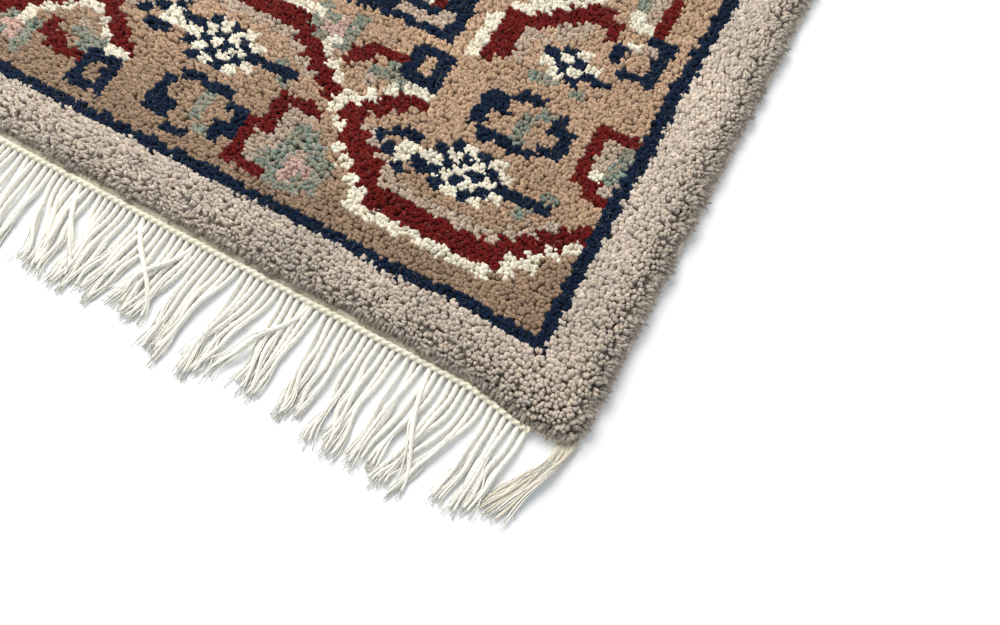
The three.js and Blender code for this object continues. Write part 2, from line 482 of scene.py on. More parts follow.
def half_cartoon():
    """The half of the design by the front fringe, with its first row at the guard."""
    chart = np.full((HALF_ALONG, SQUARES_ACROSS), TAN)
    frame_row = BORDER_ROWS + 1
    frame_column = BORDER_COLUMNS + 1
    chart[:frame_row] = end_border()
    side = side_border()
    chart[frame_row:, -1 - BORDER_COLUMNS:-1] = side
    chart[frame_row:, 1:1 + BORDER_COLUMNS] = side[:, ::-1]
    inside = chart[frame_row:, frame_column:-frame_column]
    inside[:] = NAVY
    band = inside[1:, 1:-1]
    band[:] = GREY
    for left in range(0, band.shape[1], CURL_COLUMNS):
        stamp_band(band, left, 0)
    for low in range(0, band.shape[0], CURL_ROWS):
        stamp_band(band, 0, low)
        stamp_band(band, band.shape[1] - CURL_COLUMNS, low)
    field = band[CURL_ROWS:, CURL_COLUMNS:-CURL_COLUMNS]
    field[:] = NAVY
    field[1:, 1:-1] = TAN
    for count, top in enumerate(range(7, field.shape[0], STAR_PITCH[1] // 2)):
        for left in range(2 + (count % 2) * STAR_PITCH[0] // 2, field.shape[1] - 4, STAR_PITCH[0]):
            stamp(field, "star", left, top)
    chart[0] = NAVY
    chart[:, [0, -1]] = NAVY
    return chart


def stamp_band(band, left, low):
    """One curl of the inner guard, cut off where the band ends."""
    letters = motif_squares("curl")
    room = band[low:low + CURL_ROWS, left:left + CURL_COLUMNS]
    room[:] = letters[:room.shape[0], :room.shape[1]]


half = half_cartoon()
cartoon = np.concatenate([half, half[::-1, ::-1]])
print("cartoon of", cartoon.shape, "squares")

# %% Dyes
# Each dye as it looks on a screen, in the order of the letters
DYES = np.array([
    linear(184, 155, 129),
    linear(108, 21, 17),
    linear(13, 33, 58),
    linear(243, 235, 215),
    linear(196, 180, 163),
    linear(130, 148, 138),
    linear(212, 180, 172),
    linear(216, 202, 187),
])
SQUARE_WIDTH = 258.4 / (SQUARES_ACROSS // 2)
SQUARE_LENGTH = 413.0 / HALF_ALONG


def knot_dye(x, y):
    """The number of the dye at places on the rug. Outside the guards it is the plain taupe."""
    column = np.floor(x / SQUARE_WIDTH).astype(int) + SQUARES_ACROSS // 2
    row = np.floor(y / SQUARE_LENGTH).astype(int) + HALF_ALONG
    inside = (column >= 0) & (column < SQUARES_ACROSS) & (row >= 0) & (row < SQUARES_ALONG)
    found = cartoon[np.clip(row, 0, SQUARES_ALONG - 1), np.clip(column, 0, SQUARES_ACROSS - 1)]
    return np.where(inside, found, TAUPE)


print(f"square {SQUARE_WIDTH:.2f} by {SQUARE_LENGTH:.2f} mm")

# %% [markdown]
# ## Knotted body
# Under the tips, the yarns stand so close that they make one dense body of wool on a cotton
# weave. It is a flat plate with a rounded rim, with painted shade that makes it dark where it
# shows between the tips. Its back shows every knot as a small bead in its colour, so the design
# can be read there too, and painted shade darkens the colour between the beads. A colour for each
# square keeps the design crisp, and a bump gives the beads.

# %% Knotted body
CORE_TOP = 7.4
CORE_EDGE = 3.6
CORE_RIM = 10
CORE_GAP = 0.3
# Painted shade on the top and rim of the dense wool, which show only between the tufts; the back is darkened
# less
CORE_SHADE = 0.35
BACK_SHADE = 0.8


def knot_material():
    """Knot colours times a grid of beads, with painted shade darker between them: the product of two sine
    waves, one knot long each.
    """
    material, shader, shade = new_material("knot_backs", 0.95, 0.05)
    colour = shade.node("ShaderNodeAttribute", {"attribute_name": "yarn_colour"})
    place = shade.node("ShaderNodeTexCoord", output=3)
    across = shade.node("ShaderNodeSeparateXYZ", None, {0: place})
    along = Shade(shade.tree, across.socket.node.outputs[1])
    waves = [shade.math("SINE", across * (2 * np.pi / (SQUARE_WIDTH * MM)), 0.0),
             shade.math("SINE", along * (2 * np.pi / (SQUARE_LENGTH * MM)), 0.0)]
    bead, ridge = [shade.math("ABSOLUTE", wave, 0.0) for wave in waves]
    height = bead * ridge
    # Painted shade: the colour is darker between the beads, down to 0.55 of the knot colour
    light = 0.55 + 0.5 * height
    grey = shade.node("ShaderNodeCombineColor", None, {0: light, 1: light, 2: light})
    plug(shader, "Base Color", shade.mix(1.0, colour, grey, "MULTIPLY"))
    bump = shade.node("ShaderNodeBump", None, {"Strength": 0.8, "Distance": 0.8 * MM, "Height": height})
    plug(shader, "Normal", bump)
    return material


def grid_triangles(high, wide):
    """Two triangles for every square of a grid of points, numbered row by row."""
    corner = (np.arange(high - 1)[:, None] * wide + np.arange(wide - 1)).ravel()
    lower = np.stack([corner, corner + 1, corner + wide + 1], axis=1)
    upper = np.stack([corner, corner + wide + 1, corner + wide], axis=1)
    return np.concatenate([lower, upper])


def square_edges(half, square):
    """Edges of the cartoon's squares from one side of the rug to the other, and the rug's own edges."""
    inner = np.arange(-int(half / square), int(half / square) + 1) * square
    return np.concatenate([[-half, 3 - half], inner[1:-1], [half - 3, half]])


def core_height(x, y):
    """The dense wool's height: level, and falling in a quarter of an ellipse towards the rim."""
    gap = np.minimum(woven_half - np.abs(x), woven_end - np.abs(y))
    short = 1 - np.clip(gap / CORE_RIM, 0, 1)
    return CORE_EDGE + (CORE_TOP - CORE_EDGE) * np.sqrt(1 - short ** 2)


def knotted_body():
    """A closed plate: a grid on top, the same grid below, and a wall round their rims."""
    x, y = np.meshgrid(
        square_edges(woven_half - CORE_GAP, SQUARE_WIDTH),
        square_edges(woven_end - CORE_GAP, SQUARE_LENGTH),
    )
    high, wide = x.shape
    upper = np.stack([x, y, core_height(x, y)], axis=-1).reshape(-1, 3)
    lower = upper * (1, 1, 0)
    number = np.arange(high * wide).reshape(high, wide)
    rim = np.concatenate([number[0, :-1], number[:-1, -1], number[-1, :0:-1], number[:0:-1, 0]])
    after = np.roll(rim, -1)
    down = high * wide
    wall = np.concatenate([
        np.stack([rim + down, after + down, after], axis=1),
        np.stack([rim + down, after, rim], axis=1),
    ])
    faces = grid_triangles(high, wide)
    points = np.concatenate([upper, lower])
    triangles = np.concatenate([faces, faces[:, ::-1] + down, wall])
    # The top and the rim are darkened by CORE_SHADE as painted shade; the back is darkened by BACK_SHADE
    shade = np.repeat([CORE_SHADE, BACK_SHADE, CORE_SHADE], [len(faces), len(faces), len(wall)])
    middle = points[triangles].mean(axis=1)
    colours = DYES[knot_dye(middle[:, 0], middle[:, 1])] * shade[:, None]
    return points, triangles, np.concatenate([colours, np.ones((len(colours), 1))], axis=1)


body_points, body_triangles, body_colours = knotted_body()
body = add_piece("knotted_body", body_points, body_triangles, knot_material(), "FACE",
                 yarn_colour=body_colours)

# %% [markdown]
# ## Tufts
# Cut pile is a crowd of short yarn ends. Hair would do for fur, but each wool yarn here is 3 mm
# thick and soft, so every tuft is a small closed cone with four sides that stands in the dense
# wool, and smooth shading makes it round. Neighbours lean together in clumps, and at the rim the
# tufts lean out and fall over the edge.

# %% Where the tufts stand
TUFTS_PER_SQUARE = (4, 3)
rng = np.random.default_rng(41)

step_x = SQUARE_WIDTH / TUFTS_PER_SQUARE[0]
step_y = SQUARE_LENGTH / TUFTS_PER_SQUARE[1]
columns = int(woven_half / step_x - 0.4)
rows = int(woven_end / step_y - 0.4)
grid_x, grid_y = np.meshgrid(np.arange(-columns, columns) + 0.5, np.arange(-rows, rows) + 0.5)
stagger = 0.5 * (np.arange(2 * rows) % 2)[:, None] - 0.25
top_x = ((grid_x + stagger) * step_x).ravel()
top_y = (grid_y * step_y).ravel()
top_x += rng.uniform(-0.36, 0.36, top_x.size) * step_x
top_y += rng.uniform(-0.36, 0.36, top_y.size) * step_y
print(top_x.size, "tufts on top")


# %% How the tufts lean
def clump_pull(x, y, pitch, seed):
    """The way from each place to the middle of its clump.

    Middles lie on a grid of the given pitch, moved by up to 0.45 of it, and the nearest counts.
    """
    size = 64
    moved = np.random.default_rng(seed).uniform(-0.45, 0.45, (size, size, 2))
    column = np.floor(x / pitch).astype(int)
    row = np.floor(y / pitch).astype(int)
    best = np.full((x.size, 2), np.inf)
    for right in (-1, 0, 1):
        for up in (-1, 0, 1):
            shift = moved[(row + up) % size, (column + right) % size]
            way = np.stack([
                (column + right + 0.5 + shift[:, 0]) * pitch - x,
                (row + up + 0.5 + shift[:, 1]) * pitch - y,
            ], axis=1)
            nearer = np.hypot(*way.T) < np.hypot(*best.T)
            best[nearer] = way[nearer]
    return best


SPLAY_FROM = 222
SPLAY_WIDTH = 50


def near_corner(x):
    """0 along the middle of an end, and a smooth step up to 1 towards its corners."""
    return smoothstep((np.abs(x) - SPLAY_FROM) / SPLAY_WIDTH)


RIM = 34
CLUMP_PITCH = 8.0
CORNER_SPLAY = 8
SIDE_ROLL = 11
END_ROLL = 9
side_gap = woven_half - np.abs(top_x)
end_gap = woven_end - np.abs(top_y)
loose = smoothstep(1 - np.minimum(side_gap * 1.6, end_gap) / RIM)
to_clump = clump_pull(top_x, top_y, CLUMP_PITCH, 5)
pull = to_clump * (0.2 + 0.2 * loose)[:, None]
sunk = (np.hypot(*to_clump.T) / CLUMP_PITCH) ** 2
side_fall = np.clip(1 - side_gap / SIDE_ROLL, 0, 1) ** 2
end_fall = np.clip(1 - end_gap / END_ROLL, 0, 1) ** 2
out_x = np.sign(top_x) * side_fall
out_y = np.sign(top_y) * end_fall
tip_x = top_x + pull[:, 0] + 5.5 * out_x + 0.8 * ripple(top_x, top_y, 60, 11)
splay = near_corner(top_x) * np.clip(1 - end_gap / RIM, 0, 1)
tip_y = top_y + pull[:, 1] + 3.0 * out_y + CORNER_SPLAY * np.sign(top_y) * splay
tip_y += 0.8 * ripple(top_x, top_y, 60, 12)
uneven_cut = np.abs(rng.normal(0, 0.3, tip_x.size)) * (0.5 + 0.5 * loose)
tip_z = pile_top - 0.5 - uneven_cut + 0.35 * ripple(top_x, top_y, 25, 13)
tip_z -= 3.6 * side_fall + 3.2 * end_fall + (0.8 + 2.8 * loose) * sunk
top_tips = np.stack([tip_x, tip_y, tip_z], axis=1)
top_leans = np.stack([
    pull[:, 0] / 5 + 1.1 * out_x + rng.normal(0, 0.14, tip_x.size),
    pull[:, 1] / 5 + 0.9 * out_y + rng.normal(0, 0.14, tip_x.size) - 0.08,
    np.ones(tip_x.size),
], axis=1)
print(f"tips from {tip_z.min():.1f} to {tip_z.max():.1f} mm up")

# %% Tufts on the flanks
# Rows round the rim: height of the tips, how far they reach out at the sides and at the ends,
# and how steeply they droop
FLANK_ROWS = ((9.0, 3.6, 1.2, 0.9), (7.4, 5.2, 2.2, 0.4), (5.6, 6.0, 2.6, 0.0), (3.8, 5.6, 2.2, -0.3))
FLANK_STEP = 2.6
# Away from the corners the rows at the ends reach out less, so that the end weave shows
BARE = 1.4
BARE_UP_TO = 215
BARE_WIDTH = 60


def flank_tufts(height, side_reach, end_reach, droop):
    """One row of tufts round the edge, which stick out over the selvedges and the fringes."""
    sides = int(2 * woven_end / FLANK_STEP)
    ends = int(2 * woven_half / FLANK_STEP)
    along_side = np.linspace(-woven_end, woven_end, sides) * 0.995
    along_end = np.linspace(-woven_half, woven_half, ends) * 0.995
    x = np.concatenate([np.full(sides, woven_half), along_end, np.full(sides, -woven_half), along_end])
    y = np.concatenate([along_side, np.full(ends, -woven_end), along_side, np.full(ends, woven_end)])
    at_side = np.repeat([1, 0, 1, 0], [sides, ends, sides, ends])
    way_x = np.sign(x) * at_side
    way_y = np.sign(y) * (1 - at_side)
    bare = BARE * smoothstep((BARE_UP_TO - np.abs(x)) / BARE_WIDTH)
    reach = np.where(at_side, side_reach, end_reach - bare) + rng.normal(0, 0.9, x.size)
    reach += 0.9 * ripple(x, y, 18, 17)
    splay = near_corner(x) * (1 - at_side)
    reach += CORNER_SPLAY * splay * rng.uniform(0.7, 1.1, x.size)
    wander = rng.normal(0, 1.0, (x.size, 2))
    lift = height + rng.normal(0, 0.9, x.size) - 0.3 * splay * (height - 2)
    tips = np.stack([x + way_x * reach + wander[:, 0], y + way_y * reach + wander[:, 1], lift], axis=1)
    leans = np.stack([way_x + 0.3 * wander[:, 0], way_y + 0.3 * wander[:, 1], np.full(x.size, droop)], axis=1)
    return tips, leans


flanks = [flank_tufts(*row) for row in FLANK_ROWS]
tips = np.concatenate([top_tips] + [pair[0] for pair in flanks])
leans = unit(np.concatenate([top_leans] + [pair[1] for pair in flanks]))
on_flank = np.arange(len(tips)) >= len(top_tips)
print(len(tips), "tufts in all")

# %% The shape of a tuft
TUFT_SIDES = 4
FIBRE_SIDES = 3
TUFT_LENGTH = 5.0
FLANK_LENGTH = 6.5
TUFT_GIRTH = 2.4
FLOOR_GAP = 0.3


def cone_triangles(sides):
    """A triangle from the tip to each side of the ring, and a fan that closes the ring below."""
    wall = [(sides, (k + 1) % sides, k) for k in range(sides)]
    bottom = [(0, k, k + 1) for k in range(1, sides - 1)]
    return np.array(wall + bottom)


def cone_points(tips, leans, length, girth, turn, sides):
    """The points of many cones: for each a ring, then the tip at its length along the way it leans.

    The ring lies square to that way, at its own turn.
    """
    upright = np.abs(leans[:, 2:]) > 0.7
    side = unit(np.cross(leans, np.where(upright, (0.0, 1.0, 0.0), (0.0, 0.0, 1.0))))
    rise = np.cross(side, leans)
    angle = turn[:, None] + np.arange(sides) * 2 * np.pi / sides
    spoke = np.cos(angle)[..., None] * side[:, None] + np.sin(angle)[..., None] * rise[:, None]
    base = (tips - length[:, None] * leans)[:, None] + girth[:, None, None] * spoke
    return np.concatenate([base, tips[:, None]], axis=1)


slack = np.ones(len(tips))
slack[:len(top_tips)] = loose
girth = (TUFT_GIRTH + 0.9 * (1 - slack)) * rng.uniform(0.88, 1.15, len(tips))
length = np.where(on_flank, FLANK_LENGTH, TUFT_LENGTH) * rng.uniform(0.9, 1.1, len(tips))
turn = rng.uniform(0, 2 * np.pi / TUFT_SIDES, len(tips))
# The height share at a tuft's base: its painted root shade is lightest in the dense middle and darkest on the
# loose rim and the flanks
base_share = 0.6 * (1 - slack)
points = cone_points(tips, leans, length, girth, turn, TUFT_SIDES)
points[..., 2] = np.maximum(points[..., 2], FLOOR_GAP)
print("points", points.shape)

# %% Dyes and painted shade of the tufts
# Painted shade: the tan of the border is darker towards each end and lighter over this way in,
# and tufts of other dyes on the flanks are darker.
END_SHADE_START = 30
END_SHADE_LENGTH = 120
END_SHADE_DARK = 0.74
END_SHADE_GAIN = 0.4
FLANK_SHADE = 0.85
FADED = 0.6
spread = rng.uniform(-0.7, 0.7, (len(tips), 2))
spread[:, 0] += 0.8 * ripple(tips[:, 0], tips[:, 1], 12, 23)
spread[:, 1] += 0.8 * ripple(tips[:, 0], tips[:, 1], 12, 24)
stands = tips[:, :2].copy()
stands[:len(top_tips)] = np.stack([top_x, top_y], axis=1)
dye_number = knot_dye(stands[:, 0] + spread[:, 0], stands[:, 1] + spread[:, 1])
faded = rng.uniform(0, FADED, len(tips)) * np.isin(dye_number, (GREY, TEAL, ROSE))
dye = DYES[dye_number] + faded[:, None] * (DYES[TAN] - DYES[dye_number])
painted_shade = END_SHADE_DARK + END_SHADE_GAIN * smoothstep((woven_end - END_SHADE_START - np.abs(stands[:, 1])) / END_SHADE_LENGTH)
painted_shade = np.where(dye_number == TAN, painted_shade, np.where(on_flank, FLANK_SHADE, 1.0))
shade_of_yarn = 1 + rng.normal(0, 0.08, len(tips)) + 0.05 * ripple(tips[:, 0], tips[:, 1], 90, 21)
warmth = rng.normal(0, 0.02, len(tips))
tint = np.stack([1 + warmth, np.ones(len(tips)), 1 - warmth], axis=1)
tuft_colours = np.clip(dye * (painted_shade * shade_of_yarn)[:, None] * tint, 0, 1)
print("mean colour", tuft_colours.mean(axis=0).round(3))

# %% [markdown]
# ## Pile in five strips
# All tufts in one mesh would be too heavy for one texture, so the pile is cut into five strips
# along its length, which touch and look like one. The map of each strip gives every tuft a square
# of its own, with the tip in the middle, so that a baked texture keeps the colours of single tufts.

# %% Pile strips
STRIPS = 5
BAKE_MAP = "OFBake"


def cone_map(count, sides):
    """One square for each cone, row by row in a square map: in it the cone seen from its tip.

    The ring's underside is a small copy of the ring in the square's corner.
    """
    angle = 2 * np.pi * np.arange(sides) / sides + np.pi / 2
    ring = np.stack([np.cos(angle), np.sin(angle)], axis=1)
    from_tip = np.concatenate([0.46 * ring, [(0, 0)]]) + 0.51
    triangles = cone_triangles(sides)
    wall = from_tip[triangles[:sides].ravel()]
    bottom = (0.07 * ring + 0.09)[triangles[sides:].ravel()]
    squares_wide = int(np.ceil(np.sqrt(count)))
    number = np.arange(count)
    place = np.stack([number % squares_wide, number // squares_wide], axis=1)
    return (place[:, None] + np.concatenate([wall, bottom])[None]) / squares_wide


def cone_piece(name, points, colours, base_share):
    """Cones of shape (count, sides + 1, 3) as one piece, each in one colour, with its bake map.

    The height share, which sets the painted root shade of the wool, rises from the base's own to 1
    at the tip.
    """
    count, corners = points.shape[:2]
    triangles = cone_triangles(corners - 1)[None] + corners * np.arange(count)[:, None, None]
    share = np.repeat(base_share[:, None], corners, axis=1)
    share[:, -1] = 1
    opaque = np.concatenate([colours, np.ones((count, 1))], axis=1)
    piece = add_piece(
        name,
        points.reshape(-1, 3),
        triangles.reshape(-1, 3),
        pile_wool,
        yarn_colour=np.repeat(opaque, corners, axis=0),
        height_share=share.ravel(),
    )
    layer = piece.data.uv_layers.new(name=BAKE_MAP)
    layer.uv.foreach_set("vector", cone_map(count, corners - 1).astype(np.float32).ravel())
    return piece


strip_share = (tips[:, 0] + woven_half) / (2 * woven_half)
strip_number = np.clip((strip_share * STRIPS).astype(int), 0, STRIPS - 1)
pile_strips = []
for number in range(STRIPS):
    chosen = strip_number == number
    strip = cone_piece(f"pile_strip_{number + 1}", points[chosen], tuft_colours[chosen], base_share[chosen])
    pile_strips.append(strip)

# %% [markdown]
# ## Loose fibres
# Wool sheds. Fine pale fibres stick out of the pile and soften it, most of all over the dark
# colours. They are made like the tufts, as cones with three sides, but long and very thin.

# %% Loose fibres
FIBRES = 14000
FIBRE_GIRTH = 0.14
fibre_root = rng.choice(len(tips), FIBRES, replace=False)
heading = rng.uniform(0, 2 * np.pi, FIBRES)
climb = rng.uniform(-0.1, 0.35, FIBRES)
fibre_way = unit(np.stack([np.cos(heading), np.sin(heading), climb], axis=1))
fibre_length = rng.uniform(2.0, 4.5, FIBRES)
fibre_tips = tips[fibre_root] + fibre_way * (fibre_length - 0.6)[:, None]
fibre_points = cone_points(
    fibre_tips,
    fibre_way,
    fibre_length,
    np.full(FIBRES, FIBRE_GIRTH),
    rng.uniform(0, 2, FIBRES),
    FIBRE_SIDES,
)
fibre_points[..., 2] = np.clip(fibre_points[..., 2], FLOOR_GAP, pile_top + 0.6)
# Each fibre takes most of its tuft's colour, painted shade included, and some taupe
fibre_colours = 0.65 * tuft_colours[fibre_root] + 0.35 * DYES[TAUPE]
fibres = cone_piece("loose_fibres", fibre_points, fibre_colours, np.ones(FIBRES))

# %% [markdown]
# ## Yarns and cords
# The overcast edge, the chain and the fringe are all round yarns with a twist. One function
# carries a ring along any number of paths at once. Its radius swells twice round the ring, and
# the swelling turns along the path, which looks like two strands plied together.

# %% Tubes along paths
UP = np.array((0.0, 0.0, 1.0))


def tube_triangles(stations, sides):
    """The triangles of one tube: a band between each two rings, and a fan at each end."""
    side = np.arange(sides)
    after = (side + 1) % sides
    ring = np.arange(stations - 1)[:, None] * sides
    a, b = ring + side, ring + after
    c, d = b + sides, a + sides
    start, end = stations * sides, stations * sides + 1
    last = (stations - 1) * sides
    return np.concatenate([
        np.stack([a, d, c], axis=-1).reshape(-1, 3),
        np.stack([a, c, b], axis=-1).reshape(-1, 3),
        np.stack([np.full(sides, start), side, after], axis=1),
        np.stack([np.full(sides, end), last + after, last + side], axis=1),
    ])


def tubes(paths, radius, sides, lobes=0.0, twist=0.0, flat=1.0):
    """Closed tubes along paths of shape (count, stations, 3), with a radius at each station.

    A ring's radius is multiplied by 1 + lobes * cos(2 * (angle - twist * length so far)), and its
    height by flat.
    """
    forward = unit(np.gradient(paths, axis=1))
    side = unit(np.cross(forward, UP))
    rise = np.cross(side, forward) * flat
    steps = np.linalg.norm(np.diff(paths, axis=1), axis=2)
    length = np.concatenate([np.zeros((len(paths), 1)), np.cumsum(steps, axis=1)], axis=1)
    angle = 2 * np.pi * np.arange(sides) / sides
    swell = radius[..., None] * (1 + lobes * np.cos(2 * (angle - twist * length[..., None])))
    spoke = np.cos(angle)[:, None] * side[:, :, None] + np.sin(angle)[:, None] * rise[:, :, None]
    rings = paths[:, :, None] + swell[..., None] * spoke
    count, stations = radius.shape
    points = np.concatenate([rings.reshape(count, -1, 3), paths[:, :1], paths[:, -1:]], axis=1)
    one = tube_triangles(stations, sides)
    triangles = one[None] + points.shape[1] * np.arange(count)[:, None, None]
    return points.reshape(-1, 3), triangles.reshape(-1, 3)


def joined(parts):
    """Several pairs of points and triangles as one pair."""
    offsets = np.cumsum([0] + [len(points) for points, _ in parts[:-1]])
    points = np.concatenate([points for points, _ in parts])
    triangles = np.concatenate([faces + offset for (_, faces), offset in zip(parts, offsets)])
    return points, triangles


def coloured(colour, count, spread, seed):
    """A colour for each of count points, with a little even change of brightness."""
    light = 1 + np.random.default_rng(seed).normal(0, spread, (count, 1))
    return np.concatenate([np.clip(colour * light, 0, 1), np.ones((count, 1))], axis=1)


def turned(points):
    """The points turned by half a turn about the rug's middle, for the other half of the rug."""
    return points * (-1, -1, 1)


print("tube of 3 stations and 6 sides:", len(tube_triangles(3, 6)), "triangles")

# %% [markdown]
# ## Selvedges
# The long sides are oversewn with wool, turn by turn. A coil of yarn would need a great many
# faces, and its turns lie so close that a roll with a ridge for every turn looks the same.

# %% Selvedges
TURN_LENGTH = 3.2
STATIONS_PER_TURN = 3
selvedge_wool = wool_material("selvedge_wool", 0.6, 0.4)


def selvedge_roll():
    """A flattened roll along the right side. Its girth follows the sine of the way along it."""
    stations = int(2 * woven_end / TURN_LENGTH * STATIONS_PER_TURN)
    y = np.linspace(woven_end - 0.4, -woven_end + 0.4, stations)
    width = (outer_half - woven_half) / 2
    height = selvedge_high[2] / 2
    middle = np.stack([np.full(stations, outer_half - width), y, np.full(stations, height)], axis=1)
    ridge = 0.9 + 0.1 * np.sin(2 * np.pi * y / TURN_LENGTH)
    uneven = 1 + 0.03 * ripple(y, 0 * y, 40, 31)
    radius = np.minimum(width * ridge * uneven, width)
    return tubes(middle[None], radius[None], 10, flat=height / width)


roll_points, roll_triangles = selvedge_roll()
selvedges = {}
for name, places in (("right", roll_points), ("left", turned(roll_points))):
    selvedges[name] = add_piece(
        f"overcast_{name}",
        places,
        roll_triangles,
        selvedge_wool,
        yarn_colour=coloured(DYES[TAUPE] * 0.8, len(places), 0.06, 33),
        height_share=np.ones(len(places)),
    )

# %% [markdown]
# ## Cotton of the fringe
# The warp ends are plied cotton, undyed, and a little grey and yellow with age. The twist is in
# the mesh. The material adds fine fibres and a slow change of tone.

# %% Cotton material
COTTON = linear(246, 243, 232)
LOCK = linear(214, 205, 186)


def cotton_material():
    """The yarn's own colour times fine fibre noise and a slow change of tone."""
    material, shader, shade = new_material("plied_cotton", 0.9, 0.15)
    colour = shade.node("ShaderNodeAttribute", {"attribute_name": "yarn_colour"})
    place = shade.node("ShaderNodeTexCoord", output=3)
    fibre = shade.node("ShaderNodeTexNoise", None, {"Vector": place, "Scale": 1400.0, "Detail": 2.0})
    slow = shade.node("ShaderNodeTexNoise", None, {"Vector": place, "Scale": 60.0, "Detail": 1.0})
    light = (0.88 + 0.24 * fibre) * (0.92 + 0.14 * slow)
    grey = shade.node("ShaderNodeCombineColor", None, {0: light, 1: light, 2: light})
    plug(shader, "Base Color", shade.mix(1.0, colour, grey, "MULTIPLY"))
    bump = shade.node("ShaderNodeBump", None, {"Strength": 0.5, "Distance": 0.3 * MM, "Height": fibre})
    plug(shader, "Normal", bump)
    return material


cotton = cotton_material()
print("material", cotton.name)

# %% [markdown]
# ## End weave and chain
# At each end a few rows of plain cotton weave stop the knots from sliding off, and a chain of
# cord locks them. Near the corners the chain drifts outwards, where the pile pushes it.

# %% Chain
CHAIN_MARGIN = 28
CHAIN_OUT = 4.7
CHAIN_RADIUS = 1.8
CHAIN_DRIFT = 6
DRIFT_FROM = 228
DRIFT_WIDTH = 47
WEAVE_MARGIN = 12
WEAVE_STATIONS = 420
WARP_PAIR = 2.86
chain_half = outer_half - CHAIN_MARGIN


def drift(x):
    """How far the chain drifts out of line: a smooth step with the distance from the middle."""
    return CHAIN_DRIFT * smoothstep((np.abs(x) - DRIFT_FROM) / DRIFT_WIDTH)


def chain(pitch):
    """A two-ply cord along the end, with one lobe for every fringe cord."""
    stations = int(2 * chain_half / pitch * 7)
    x = np.linspace(-chain_half, chain_half, stations)
    y = -woven_end - CHAIN_OUT - drift(x)
    path = np.stack([x, y, np.full(stations, CHAIN_RADIUS + 1.6)], axis=1)
    radius = CHAIN_RADIUS * (1 + 0.05 * ripple(x, y, 30, 35))
    return tubes(path[None], radius[None], 8, lobes=0.22, twist=np.pi / pitch)


def end_weave():
    """A ribbon from the pile to the chain, with a ridge for every pair of warps."""
    x = np.linspace(-outer_half + WEAVE_MARGIN, outer_half - WEAVE_MARGIN, WEAVE_STATIONS)
    out = np.array([-5.0, -2.0, 0.0, 1.6, 3.2, 3.2, -5.0])
    up = np.array([2.6, 2.8, 2.8, 2.7, 2.2, 0.2, 0.2])
    ridge = 0.15 * np.sin(2 * np.pi * x / WARP_PAIR)[:, None] * (up > 1)
    y = -woven_end - out[None] - drift(x)[:, None] * (out > -2)
    ring = np.stack([np.broadcast_to(x[:, None], y.shape), y, up[None] + ridge], axis=-1)
    stations, sides = y.shape
    middles = ring.mean(axis=1)
    points = np.concatenate([ring.reshape(-1, 3), middles[:1], middles[-1:]])
    return points, tube_triangles(stations, sides)[:, ::-1]


# %% [markdown]
# ## Fringe
# Warp ends hang over the chain and lie on the floor in groups that wander, draw together and
# cross here and there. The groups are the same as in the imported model. Each cord comes from under
# the chain, falls to the floor within a few millimetres, and frays into thin ends at its tip.

# %% Fringe cords
# Groups from the right-hand corner: cords, shift of the tips, share by which the tips draw
# together, reach and sideways bow
FRINGE_GROUPS = np.array([
    (3, -4, 0.25, 57, 0),
    (3, -3, 0.3, 57, 1),
    (6, -15, 0.42, 72, 2),
    (6, -6, 0.4, 65, 1),
    (6, 0, 0.3, 67, -1),
    (6, 1, 0.3, 61, 1),
    (6, 2, 0.45, 63, 0),
    (6, -10, 0.48, 67, 1),
    (6, -3, 0.48, 68, -1),
    (6, -7, 0.4, 55, 2),
    (5, -8, 0.45, 59, 2),
    (6, 0, 0.42, 60, 1),
    (7, 10, 0.46, 57, -2),
    (6, 4, 0.4, 63, 1),
    (7, -4, 0.45, 66, -1),
    (5, -8, 0.42, 62, 1),
    (6, -2, 0.45, 64, 1),
    (7, 6, 0.44, 61, -1.5),
    (6, 1, 0.4, 66, 1),
    (6, 8, 0.45, 62, -1),
    (4, 6, 0.35, 60, 1),
    (3, 5, 0.3, 57, 0),
])
# Single cords that lie across their neighbours: place of the root, place of the tip, reach
STRAYS = np.array([
    (16, 52, 52),
    (52, 30, 50),
    (-30, -4, 52),
    (130, 104, 60),
    (208, 226, 66),
    (-140, -118, 58),
])
CORD_RADIUS = 1.5
CORD_STATIONS = 32
CORD_SIDES = 6
CORD_TWIST = 2 * np.pi / 9


def cord_paths(root_x, tip_x, reach, bow, lift, seed, start=0.0):
    """Paths from under the chain out over the floor, or from further in by start.

    Sideways a cord follows a smooth step from root to tip, plus a bow and small waves. It falls from
    the chain to the floor exponentially, and lies higher by lift where it crosses others.
    """
    draw = np.random.default_rng(seed)
    share = np.linspace(0, 1, CORD_STATIONS)[None]
    count = len(root_x)
    wave = np.sin(2 * np.pi * (share * draw.uniform(0.9, 2.2, (count, 1)) + draw.uniform(0, 1, (count, 1))))
    x = root_x[:, None] + (tip_x - root_x)[:, None] * smoothstep(share)
    x = x + bow[:, None] * np.sin(np.pi * share) + draw.uniform(0.5, 2.3, (count, 1)) * wave * share
    y = start - woven_end - CHAIN_OUT - drift(root_x)[:, None] - reach[:, None] * share
    fall = np.exp(-reach[:, None] * share / 4.5)
    z = CORD_RADIUS + 1.2 * fall + lift[:, None] * np.sin(np.pi * share) ** 2
    return np.stack([x, y, z], axis=-1)


def grouped_cords():
    """Root, tip, reach and bow of every cord, worked out group by group from the table."""
    cords, shift, gather, reach, bow = FRINGE_GROUPS.T
    cords = cords.astype(int)
    group = np.repeat(np.arange(len(cords)), cords)
    pitch = 2 * chain_half / cords.sum()
    first = np.cumsum(cords) - cords
    middle = chain_half - pitch * (first + cords / 2)
    root = chain_half - pitch * (np.arange(cords.sum()) + 0.5)
    tip = middle[group] + shift[group] + (root - middle[group]) * (1 - gather[group])
    return pitch, root, tip, reach[group], bow[group]


